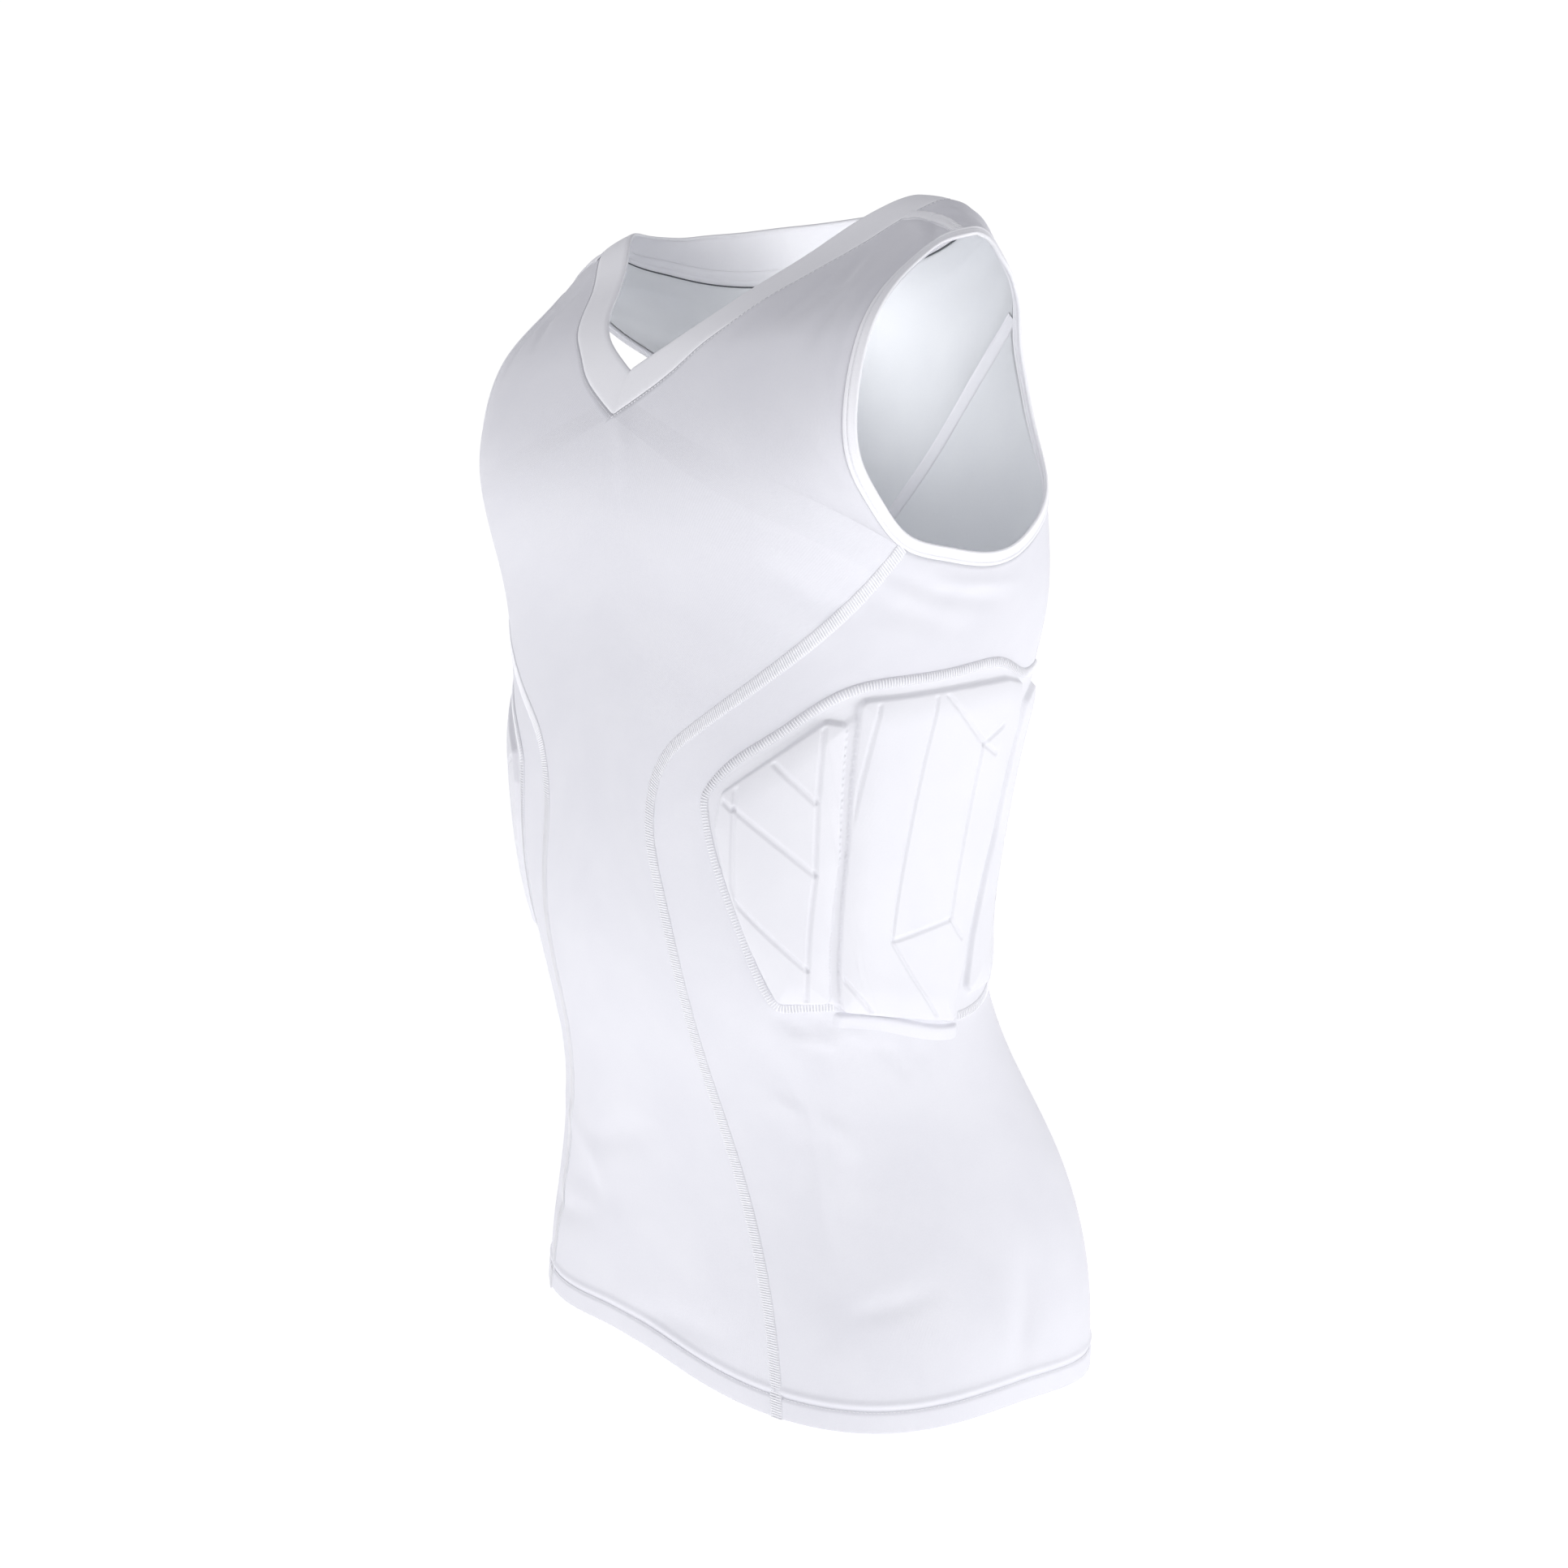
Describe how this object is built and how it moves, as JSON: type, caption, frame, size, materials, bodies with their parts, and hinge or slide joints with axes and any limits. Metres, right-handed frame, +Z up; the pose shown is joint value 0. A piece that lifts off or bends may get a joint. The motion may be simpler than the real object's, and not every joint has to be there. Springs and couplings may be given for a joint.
{
  "type": "padded compression shirt",
  "caption": "Sleeveless V-neck compression shirt, filled out as worn, with moulded foam pads over the ribs, sides and back.",
  "frame": {"origin": "midway between the shoulders and level with the shoulder line, where the wearer holds the shirt up", "axes": "+Z up, -Y the way the chest faces, +X towards the wearer's left side"},
  "size_m": [0.3924, 0.3005, 0.7041],
  "materials": {
    "front_panel_knit": "white polyester and elastane compression knit, matt with a faint sheen",
    "back_yoke_knit": "white polyester and elastane compression knit, matt with a faint sheen",
    "neckband_knit": "white stretch knit trim, matt",
    "side_panel_left_knit": "white polyester and elastane compression knit, matt with a faint sheen",
    "armhole_binding_left_knit": "white stretch knit trim, matt",
    "pad_cover_left_knit": "white polyester and elastane compression knit, matt with a faint sheen",
    "pad_front_left_knit": "white knit moulded over closed-cell foam, matt with a faint sheen",
    "pad_side_left_knit": "white knit moulded over closed-cell foam, matt with a faint sheen",
    "pad_back_left_knit": "white knit moulded over closed-cell foam, matt with a faint sheen",
    "side_panel_right_knit": "white polyester and elastane compression knit, matt with a faint sheen",
    "armhole_binding_right_knit": "white stretch knit trim, matt",
    "pad_cover_right_knit": "white polyester and elastane compression knit, matt with a faint sheen",
    "pad_front_right_knit": "white knit moulded over closed-cell foam, matt with a faint sheen",
    "pad_side_right_knit": "white knit moulded over closed-cell foam, matt with a faint sheen",
    "pad_back_right_knit": "white knit moulded over closed-cell foam, matt with a faint sheen"
  },
  "bodies": {
    "root": {"front_panel": "front_panel_knit", "back_yoke": "back_yoke_knit", "neckband": "neckband_knit", "side_panel_left": "side_panel_left_knit", "armhole_binding_left": "armhole_binding_left_knit", "pad_cover_left": "pad_cover_left_knit", "pad_front_left": "pad_front_left_knit", "pad_side_left": "pad_side_left_knit", "pad_back_left": "pad_back_left_knit", "side_panel_right": "side_panel_right_knit", "armhole_binding_right": "armhole_binding_right_knit", "pad_cover_right": "pad_cover_right_knit", "pad_front_right": "pad_front_right_knit", "pad_side_right": "pad_side_right_knit", "pad_back_right": "pad_back_right_knit"}
  },
  "joints": []
}
